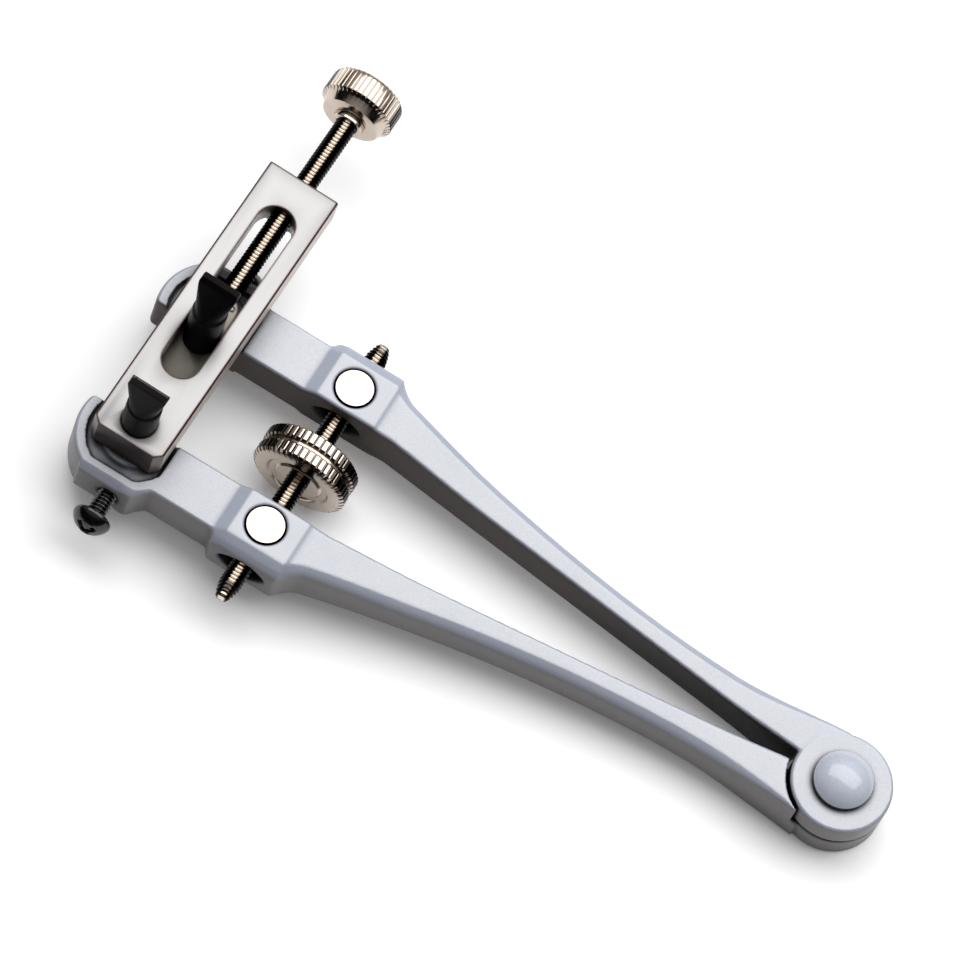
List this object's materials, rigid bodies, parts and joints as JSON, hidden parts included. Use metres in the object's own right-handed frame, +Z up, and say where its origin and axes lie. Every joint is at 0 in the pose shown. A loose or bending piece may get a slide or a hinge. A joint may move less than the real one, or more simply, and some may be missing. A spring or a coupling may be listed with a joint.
{
  "type": "watch case opener",
  "caption": "Compass-type opener for screw-backed watch cases: two painted arms on a rivet, spread by a thumb wheel, with a slotted head bar, a fixed bit and a bit on a lead screw.",
  "frame": {"origin": "centre of the rivet at the underside of the hub, where the tool lies on its arms", "axes": "+Z up along the rivet, the arms run to -X, +Y across them towards the knob"},
  "size_m": [0.1517, 0.0941, 0.0362],
  "materials": {
    "grey_paint": "satin light grey paint on a casting",
    "rivet_paint": "satin mid grey paint",
    "nickel_plate": "bright nickel plate on turned and knurled steel",
    "screw_plate": "bright nickel plate on cut threads",
    "bar_plate": "satin nickel plate on a milled bar",
    "black_oxide": "black oxide on steel"
  },
  "bodies": {
    "lower_arm": {"lower_arm": "grey_paint", "pivot_rivet": "rivet_paint", "pivot_washer": "nickel_plate"},
    "upper_arm": {"upper_arm": "grey_paint"},
    "lower_swivel_nut": {"lower_swivel_nut": "nickel_plate"},
    "upper_swivel_nut": {"upper_swivel_nut": "nickel_plate"},
    "spread_screw": {"spread_screw": "screw_plate"},
    "thumb_wheel": {"thumb_wheel": "nickel_plate", "wheel_set_screw": "black_oxide"},
    "head_bar": {"head_bar": "bar_plate", "fixed_bit": "black_oxide"},
    "slide_block": {"slide_block": "bar_plate", "slide_bit": "black_oxide", "slide_bit_screw": "black_oxide", "lead_screw_clip": "bar_plate"},
    "lead_screw": {"lead_screw": "screw_plate", "knob_collar": "nickel_plate", "lead_knob": "nickel_plate", "knob_set_screw": "black_oxide"},
    "lower_clamp_screw": {"lower_clamp_screw": "black_oxide"},
    "upper_clamp_screw": {"upper_clamp_screw": "black_oxide"}
  },
  "joints": [
    {"name": "wheel_spin", "type": "hinge", "parent": "spread_screw", "child": "thumb_wheel", "pos_m": [-0.1055, 0, 0.0055], "axis": [0, 1, 0], "range_deg": [-3240, 2880]},
    {"name": "arms_open", "type": "hinge", "parent": "lower_arm", "child": "upper_arm", "pos_m": [0, 0, 0.005], "axis": [0, 0, -1], "range_deg": [-6.9, 6.2]},
    {"name": "lower_nut_turn", "type": "hinge", "parent": "lower_arm", "child": "lower_swivel_nut", "pos_m": [-0.1055, -0.01505, 0.0055], "axis": [0, 0, -1], "range_deg": [-3.45, 3.1]},
    {"name": "upper_nut_turn", "type": "hinge", "parent": "upper_arm", "child": "upper_swivel_nut", "pos_m": [-0.1055, 0.01505, 0.0055], "axis": [0, 0, 1], "range_deg": [-3.45, 3.1]},
    {"name": "screw_shift", "type": "slide", "parent": "lower_swivel_nut", "child": "spread_screw", "axis": [0, 1, 0], "range_m": [-0.00635, 0.00565]},
    {"name": "bar_swivel", "type": "hinge", "parent": "lower_arm", "child": "head_bar", "pos_m": [-0.1325, -0.0133, 0.0098], "axis": [0, 0, 1], "range_deg": [-8, 8]},
    {"name": "lead_screw_spin", "type": "hinge", "parent": "slide_block", "child": "lead_screw", "pos_m": [-0.1325, -0.0133, 0.0133], "axis": [0.0175, 0.9998, 0], "range_deg": [-3780, 9000]},
    {"name": "bit_travel", "type": "slide", "parent": "head_bar", "child": "slide_block", "axis": [0.0175, 0.9998, 0], "range_m": [-0.0074, 0.01755]},
    {"name": "lower_clamp_turn", "type": "hinge", "parent": "lower_arm", "child": "lower_clamp_screw", "pos_m": [-0.1312, -0.023, 0.0048], "axis": [0, -1, 0], "range_deg": [-90, 720]},
    {"name": "upper_clamp_turn", "type": "hinge", "parent": "upper_arm", "child": "upper_clamp_screw", "pos_m": [-0.1312, 0.023, 0.0048], "axis": [0, 1, 0], "range_deg": [0, 720]}
  ],
  "couplings": [
    {"joint": "arms_open", "follows": "wheel_spin", "ratio": 0.002112},
    {"joint": "lower_nut_turn", "follows": "wheel_spin", "ratio": 0.001056},
    {"joint": "upper_nut_turn", "follows": "wheel_spin", "ratio": 0.001056},
    {"joint": "screw_shift", "follows": "wheel_spin", "m_per_rad": 0.00011141},
    {"joint": "bit_travel", "follows": "lead_screw_spin", "m_per_rad": 0.00011141}
  ]
}
